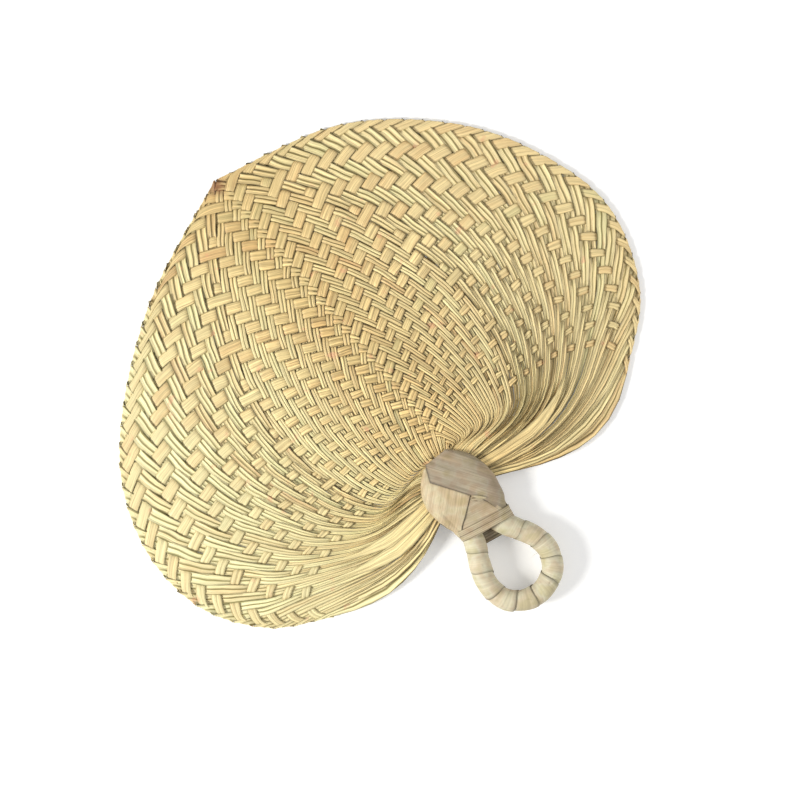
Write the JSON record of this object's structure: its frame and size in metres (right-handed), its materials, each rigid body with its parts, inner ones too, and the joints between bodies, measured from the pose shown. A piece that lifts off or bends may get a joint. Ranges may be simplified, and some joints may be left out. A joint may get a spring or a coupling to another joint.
{
  "type": "palm leaf hand fan",
  "caption": "Heart-shaped hand fan of leaf strips woven on the bias, gathered to a leaf-bound neck with a wrapped finger ring as its handle.",
  "frame": {"origin": "middle of the neck, on the surface that the fan lies on", "axes": "+Y from the handle towards the tip of the blade, +X across the blade, +Z out of the face that is seen"},
  "size_m": [0.2841, 0.2603, 0.0168],
  "materials": {
    "blade_leaf_left": "dried palm leaf, pale straw yellow, satin, with fine lengthwise ridges",
    "blade_leaf_right": "dried palm leaf, tanner straw, satin, with fine lengthwise ridges",
    "handle_leaf": "smooth broad dried leaf, greyish beige",
    "binding_leaf": "narrow dried leaf, darker beige",
    "bundled_leaf": "bundled leaf ribs and strip ends, dull brown straw"
  },
  "bodies": {
    "root": {"left_strip_01": "blade_leaf_left", "right_strip_01": "blade_leaf_right", "left_strip_02": "blade_leaf_left", "right_strip_02": "blade_leaf_right", "left_strip_03": "blade_leaf_left", "right_strip_03": "blade_leaf_right", "left_strip_04": "blade_leaf_left", "right_strip_04": "blade_leaf_right", "left_strip_05": "blade_leaf_left", "right_strip_05": "blade_leaf_right", "left_strip_06": "blade_leaf_left", "right_strip_06": "blade_leaf_right", "left_strip_07": "blade_leaf_left", "right_strip_07": "blade_leaf_right", "left_strip_08": "blade_leaf_left", "right_strip_08": "blade_leaf_right", "left_strip_09": "blade_leaf_left", "right_strip_09": "blade_leaf_right", "left_strip_10": "blade_leaf_left", "right_strip_10": "blade_leaf_right", "left_strip_11": "blade_leaf_left", "right_strip_11": "blade_leaf_right", "left_strip_12": "blade_leaf_left", "right_strip_12": "blade_leaf_right", "left_strip_13": "blade_leaf_left", "right_strip_13": "blade_leaf_right", "left_strip_14": "blade_leaf_left", "right_strip_14": "blade_leaf_right", "left_strip_15": "blade_leaf_left", "right_strip_15": "blade_leaf_right", "left_strip_16": "blade_leaf_left", "right_strip_16": "blade_leaf_right", "neck_core": "bundled_leaf", "neck_lashing": "bundled_leaf", "ring_core": "bundled_leaf", "ring_wrap": "handle_leaf", "waist_wrap": "binding_leaf", "collar_front_right_leaf": "handle_leaf", "collar_front_left_leaf": "handle_leaf", "collar_front_cross_leaf": "handle_leaf", "collar_back_right_leaf": "handle_leaf", "collar_back_left_leaf": "handle_leaf", "collar_back_cross_leaf": "handle_leaf"}
  },
  "joints": []
}
